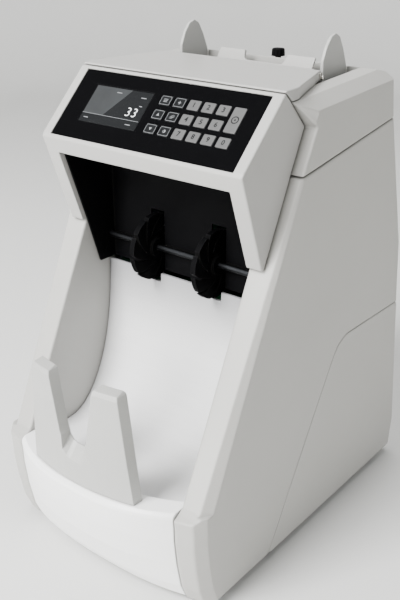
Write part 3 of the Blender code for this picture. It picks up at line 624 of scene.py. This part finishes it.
# the middle of a key's or the display's face, in the panel's axes, with its width and height
def topOf(name):
    points = [v.co for v in nodes[name].data.vertices]
    level = max(p.dot(panelOut) for p in points)
    faceDepth = 0.05 * mm
    top = [p for p in points if p.dot(panelOut) > level - faceDepth]
    xs = [p.x for p in top]
    ys = [p.dot(upSlope) for p in top]
    width, height = max(xs) - min(xs), max(ys) - min(ys)
    middle = across * (max(xs) + min(xs)) / 2 + upSlope * (max(ys) + min(ys)) / 2 + panelOut * level
    turned = Matrix((across, upSlope, panelOut)).transposed().to_4x4()
    return Matrix.Translation(middle) @ turned, width / mm, height / mm


# print on the caps: sizes in mm, on and just under the cap's own face
keyPrint = {
    "thickness": (-0.02, 0.04),
    "figureSize": 6.2,
    "figureBolder": 0.16,
    "outlineInset": 0.35,
    "outlineWidth": 0.28,
    "iconScale": 0.78,
    "outlineCorners": (1.1, 0.8),
    "startRing": (3.5, 2.55),
    "startDot": 0.8,
    # plain icons in place of the keys' words
    "menuBar": (5.4, 0.6, 0.2),
    "menuRows": (-1.6, 0, 1.6),
    "plus": (2, 0.35),
    "arrow": (2, 1.5, 1.9),
    "cards": ((3.6, 2.2, 0.2), (3.1, 1.7, 0.1)),
    "cardSteps": ((-1.1, -1.0), (0, 0), (1.1, 1.0)),
    "dial": (1.9, 1.45),
    "dialHalf": (1.6, 1.13),
}


def iconOf(name, bm, place, p):
    low, high = p["thickness"]
    if name == "menu":
        for y in p["menuRows"]:
            addSlab(bm, roundedBox(*p["menuBar"], (0, y)), low, high, place)
    elif name == "add":
        arm, half = p["plus"]
        cross = [(-arm, -half), (-half, -half), (-half, -arm), (half, -arm), (half, -half), (arm, -half)]
        addSlab(bm, cross + [(-x, -y) for x, y in cross], low, high, place)
    elif name in ("up", "down"):
        turn = 1 if name == "up" else -1
        half, foot, tip = p["arrow"]
        addSlab(bm, [(-half, -foot * turn), (half, -foot * turn), (0, tip * turn)], low, high, place)
    elif name == "batch":
        for k, centre in enumerate(p["cardSteps"]):
            reach = [roundedBox(*size, centre) for size in p["cards"]]
            addFrameSlab(bm, *reach, low, high - 0.01 * k, place)
    else:
        outer, inner = p["dial"]
        tip, side = p["dialHalf"]
        addFrameSlab(bm, circle(outer), circle(inner), low, high, place)
        addSlab(bm, [(0, -tip), (side, -side), (tip, 0), (side, side), (0, tip)], low, high, place)


def printKeys(p):
    low, high = p["thickness"]
    for n in range(10):
        place = topOf(f"key_{n}")[0]
        bm = bmesh.new()
        addFigures(bm, str(n), p["figureSize"], low, high, place, bolder=p["figureBolder"])
        addPiece(f"figure_{n}", bm, "blackInk", f"key_{n}")
    for name in ("menu", "add", "up", "down", "batch", "mode"):
        place, width, height = topOf(f"key_{name}")
        bm = bmesh.new()
        iconOf(name, bm, place @ Matrix.Diagonal((p["iconScale"], p["iconScale"], 1, 1)), p)
        addPiece(f"icon_{name}", bm, "greyInk", f"key_{name}")
        wide, tall = width - 2 * p["outlineInset"], height - 2 * p["outlineInset"]
        line = 2 * p["outlineWidth"]
        bm = bmesh.new()
        outer, inner = p["outlineCorners"]
        outline = (roundedBox(wide, tall, outer), roundedBox(wide - line, tall - line, inner))
        addFrameSlab(bm, *outline, low, high, place)
        addPiece(f"outline_{name}", bm, "greyInk", f"key_{name}")
    place = topOf("key_start")[0]
    bm = bmesh.new()
    outer, inner = p["startRing"]
    addFrameSlab(bm, circle(outer), circle(inner), low, high, place)
    addSlab(bm, circle(p["startDot"], steps=16), low, high, place)
    addPiece("start_mark", bm, "blackInk", "key_start")


printKeys(keyPrint)
print("keys printed")

# the picture, as shares of the window's width and height from its lower left corner
picture = {
    "layers": (0.02, 0.05, 0.08),
    # painted reflection: the outline of the paler glare patch
    "paintedGlare": [(0.005, 0.235), (0.36, 0.235), (0.64, 0.992), (0.005, 0.992)],
    "rule": (0.0, 1.0, 0.225, 0.3),
    "figures": ("33", 12.5, (0.81, 0.42)),
    "spacing": 1.12,
    "thinner": -0.16,
    # short bars where a line of small print stands: centre, length
    "bars": [((0.10, 0.11), 0.08), ((0.85, 0.11), 0.09), ((0.90, 0.62), 0.05)]
    + [((0.88, 0.84), 0.09), ((0.44, 0.88), 0.09)],
    "barHeight": 0.7,
    # the printed line round the window
    "surround": (1.1, 0.35),
}


def showPicture(p):
    place, width, height = topOf("display")
    low, mid, high = p["layers"]

    def at(share):
        return (share[0] - 0.5) * width, (share[1] - 0.5) * height

    bm = bmesh.new()
    # painted reflection: the glare patch, laid on the window
    addSlab(bm, [at(s) for s in p["paintedGlare"]], -0.02, low, place)
    addPiece("picture_painted_glare", bm, "paintedGlareTone", "machine")
    bm = bmesh.new()
    left, right, level, thick = p["rule"]
    (x0, y0), (x1, y1) = at((left, level)), at((right, level))
    addSlab(bm, [(x0, y0), (x1, y0), (x1, y0 + thick), (x0, y0 + thick)], low, mid, place)
    for share, length in p["bars"]:
        addSlab(bm, roundedBox(length * width, p["barHeight"], 0.3, at(share)), low, mid, place)
    addPiece("picture_lines", bm, "greyInk", "machine")
    bm = bmesh.new()
    text, size, share = p["figures"]
    addFigures(bm, text, size, low, high, place, at(share), p["thinner"], p["spacing"])
    addPiece("picture_figures", bm, "litFigure", "machine")


showPicture(picture)
print("picture drawn")


# where a straight line from outside meets a frame piece, and which way that face looks
def touch(name, start, direction):
    hit, spot, out, _ = nodes[name].ray_cast(Vector(start) * mm, Vector(direction))
    return spot, out


def standing(spot, out, up=(0, 0, 1)):
    side = Vector(up).cross(out).normalized()
    turned = Matrix((side, out.cross(side), out)).transposed().to_4x4()
    return Matrix.Translation(spot) @ turned


# pan-head screws with a cross recess, M3
screw = {
    "radius": 2.8,
    "height": 1.5,
    "recess": 1.1,
    "armLength": 1.5,
    "armHalf": 0.42,
    # the head from its rim inwards, as shares of the radius and of the height
    "dome": [(1.0, -0.3), (1.0, 0.35), (0.94, 0.62), (0.82, 0.84), (0.68, 0.95)],
    "steps": 40,
}


def addScrew(name, place, body, s=screw):
    angles = [2 * math.pi * i / s["steps"] for i in range(s["steps"])]
    r, h = s["radius"], s["height"]

    def turned(radius, z):
        return [(radius * math.cos(a), radius * math.sin(a), z) for a in angles]

    def crossed(scale, z):
        ring = []
        for a in angles:
            c, n = abs(math.cos(a)), abs(math.sin(a))
            arm = min(s["armLength"] / max(c, n), s["armHalf"] / max(min(c, n), 0.001))
            reach = min(arm, s["armHalf"] * 1.9 / max(c, n)) if min(c, n) > 0.62 else arm
            ring.append((scale * reach * math.cos(a), scale * reach * math.sin(a), z))
        return ring

    rings = [turned(r * k, h * z) for k, z in s["dome"]]
    rings += [crossed(1.0, h * 0.99), crossed(0.8, h - s["recess"])]
    bm = bmesh.new()
    addLoft(bm, rings, place)
    addPiece(name, bm, "nickelPlate", body)


# the rear cover's and the rocker's small fittings, found by straight lines from behind
rearFittings = {
    "behind": 400,
    "screws": [(-108, 22), (108, 22), (-108, 216), (108, 216)],
    # the label's middle and size, and how far in the outer and inner edge of its line lie
    "label": ((45, 72), (62, 26)),
    "labelCorner": 2.0,
    "labelDepth": (-0.05, 0.12),
    "lineInset": (2.0, 2.5),
    "lineCorner": (1.2, 0.9),
    "lineDepth": (0.08, 0.16),
    # the inlet's three contacts, measured from the middle of its flange: width, height, length
    "contacts": ((0, 4), (-7, -2), (7, -2)),
    "contactSize": (2.5, 4.5, 14.0),
    "contactSunk": 3.4,
    "contactTip": (1.2, 0.5, 0.75),
    # the rocker's bar and ring, and how far each stands from its middle
    "markOffset": 5.2,
    "bar": (0.6, 3.0, 0.2),
    "ring": (1.6, 1.1),
    "markDepth": (-0.02, 0.05),
}


def fitRear(r):
    for k, (x, z) in enumerate(r["screws"]):
        spot, out = touch("rear_cover", (x, r["behind"], z), (0, -1, 0))
        addScrew(f"rear_screw_{k}", standing(spot, out), "machine")

    (x, z), (width, height) = r["label"]
    spot, out = touch("rear_cover", (x, r["behind"], z), (0, -1, 0))
    labelPlace = standing(spot, out)
    bm = bmesh.new()
    addSlab(bm, roundedBox(width, height, r["labelCorner"]), *r["labelDepth"], labelPlace)
    addPiece("blank_label", bm, "brushedLabel", "machine")

    (low, high), (thick, tall, length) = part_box("power_inlet"), r["contactSize"]
    middle = (Vector(low) + Vector(high)) / 2
    facing = Matrix(((1, 0, 0), (0, 0, 1), (0, 1, 0))).to_4x4()
    half = (thick / 2, tall / 2)
    taper, thinner, shorter = r["contactTip"]
    tips = [(-length, half), (-taper, half), (0.0, (half[0] * thinner, half[1] * shorter))]
    bm = bmesh.new()
    for x, z in r["contacts"]:
        spot = (middle.x + x * mm, high[1] - r["contactSunk"] * mm, middle.z + z * mm)
        place = Matrix.Translation(spot) @ facing
        addLoft(bm, [[(-w, -h, y), (w, -h, y), (w, h, y), (-w, h, y)] for y, (w, h) in tips], place)
    addPiece("inlet_contacts", bm, "nickelPlate", "machine", 0.2)

    bm = bmesh.new()
    edges = zip(r["lineInset"], r["lineCorner"])
    outline = [roundedBox(width - 2 * inset, height - 2 * inset, corner) for inset, corner in edges]
    addFrameSlab(bm, *outline, *r["lineDepth"], labelPlace)
    addPiece("label_line", bm, "blackInk", "machine")

    low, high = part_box("power_switch")
    middle = (Vector(low) + Vector(high)) / 2 / mm
    bm = bmesh.new()
    spot, out = touch("power_switch", (middle.x, r["behind"], middle.z + r["markOffset"]), (0, -1, 0))
    addSlab(bm, roundedBox(*r["bar"]), *r["markDepth"], standing(spot, out))
    spot, out = touch("power_switch", (middle.x, r["behind"], middle.z - r["markOffset"]), (0, -1, 0))
    outer, inner = r["ring"]
    addFrameSlab(bm, circle(outer), circle(inner), *r["markDepth"], standing(spot, out))
    addPiece("rocker_marks", bm, "litFigure", "power_switch")


fitRear(rearFittings)
print("rear fitted")

# the sprung pin that holds the top cover's rail, with the plate it is riveted to
coverPin = {
    "outside": 200,
    "fromRail": 4.5,
    # the plate's size, its corner and how far it hangs below the middle
    "plate": (7.5, 9.0, 0.9),
    "corner": 1.6,
    "drop": 2.0,
    # the leg below it: width, height, corner, its middle, and its thickness as a share
    "leg": (1.3, 4.2, 0.5),
    "legDrop": 7.4,
    "legShare": 0.8,
    "head": 2.1,
    "neck": 1.25,
    "length": 3.2,
    # the turned pin from the plate outwards, as shares of the neck, or head, and of the length
    "neckProfile": ((0.9, 0.0), (1.0, 0.1), (1.0, 0.25)),
    "headProfile": ((1.0, 0.55), (1.0, 0.8), (0.85, 0.94), (0.5, 1.0)),
}


def fitCoverPin(c):
    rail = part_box("top_cover")[1]
    start = (c["outside"], rail.y / mm - c["fromRail"], rail.z / mm - c["fromRail"])
    spot, out = touch("top_cover", start, (-1, 0, 0))
    place = standing(spot, out)
    wide, tall, thick = c["plate"]
    bm = bmesh.new()
    addSlab(bm, roundedBox(wide, tall, c["corner"], (0, -c["drop"])), -0.1, thick, place)
    addSlab(bm, roundedBox(*c["leg"], (0, -c["legDrop"])), -0.1, thick * c["legShare"], place)
    rings = []
    for radius, profile in ((c["neck"], c["neckProfile"]), (c["head"], c["headProfile"])):
        for share, z in profile:
            outline = circle(radius * share, (0, -c["drop"]), 24)
            rings.append([(x, y, c["length"] * z) for x, y in outline])
    addLoft(bm, rings, place)
    addPiece("cover_pin", bm, "nickelPlate", "machine", 0.15)


fitCoverPin(coverPin)
print("cover pin fitted")

# studio: a round backdrop that sweeps up from the floor, and soft lamps, places and sizes in mm
studio = {
    "paper": "DADAD8",
    "paperShade": "D5D5D3",
    "flatRadius": 2100,
    "sweep": 500,
    "height": 1500,
    # steps round the backdrop, up its sweep and across its floor
    "around": 96,
    "sweepSteps": 12,
    "floorRings": 6,
    "world": "F4F5F6",
    "worldStrength": 0.18,
    # name: place, aim, size, watts
    "lights": {
        "softKey": ((-350, -1500, 1750), (0, 0, 200), 900, 122),
        "softFront": ((-600, -1900, 520), (0, 0, 180), 800, 36),
        "softTop": ((-200, 500, 1900), (0, 0, 300), 1300, 27),
        "softRight": ((1500, -500, 700), (0, 0, 220), 900, 5),
    },
}


def buildBackdrop(s):
    rings, steps, around = s["floorRings"], s["sweepSteps"], s["around"]
    profile = [(s["flatRadius"] * k / rings, 0) for k in range(rings + 1)]
    for k in range(1, steps + 1):
        a = math.pi / 2 * k / steps
        profile.append((s["flatRadius"] + s["sweep"] * math.sin(a), s["sweep"] * (1 - math.cos(a))))
    profile.append((profile[-1][0], s["height"]))
    bm = bmesh.new()
    turns = [2 * math.pi * i / around for i in range(around)]
    rows = [[bm.verts.new((0, 0, 0))] * around]
    for r, z in profile[1:]:
        rows.append([bm.verts.new((r * math.cos(a) * mm, r * math.sin(a) * mm, z * mm)) for a in turns])
    for low, high in zip(rows, rows[1:]):
        for i in range(around):
            j = (i + 1) % around
            corners = (low[i], high[i], high[j], low[j])
            bm.faces.new(corners if low[i] is not low[j] else corners[:3])
    for face in bm.faces:
        face.smooth = True
    mesh = bpy.data.meshes.new("backdrop")
    bm.to_mesh(mesh)
    bm.free()
    backdrop = bpy.data.objects.new("backdrop", mesh)
    bpy.context.scene.collection.objects.link(backdrop)
    look = {
        "colour": s["paper"],
        "shade": s["paperShade"],
        "driftSize": 400,
        "roughness": (0.6, 0.75),
        "rubSize": 200,
        "grainSize": 3.0,
        "grainStrength": 0.05,
        "grainDepth": 0.1,
    }
    mesh.materials.append(finishOf("backdropPaper", look))


def lightStudio(s):
    world = bpy.data.worlds.new("studioAir")
    world.use_nodes = True
    sky = world.node_tree.nodes["Background"]
    sky.inputs["Color"].default_value = toLinear(s["world"])
    sky.inputs["Strength"].default_value = s["worldStrength"]
    bpy.context.scene.world = world
    for name, (place, aim, size, watts) in s["lights"].items():
        data = bpy.data.lights.new(name, "AREA")
        data.energy = watts
        data.size = size * mm
        lamp = bpy.data.objects.new(name, data)
        lamp.location = Vector(place) * mm
        lamp.rotation_mode = "QUATERNION"
        lamp.rotation_quaternion = (Vector(aim) - Vector(place)).to_track_quat("-Z", "Y")
        bpy.context.scene.collection.objects.link(lamp)


buildBackdrop(studio)
lightStudio(studio)
print("studio built")
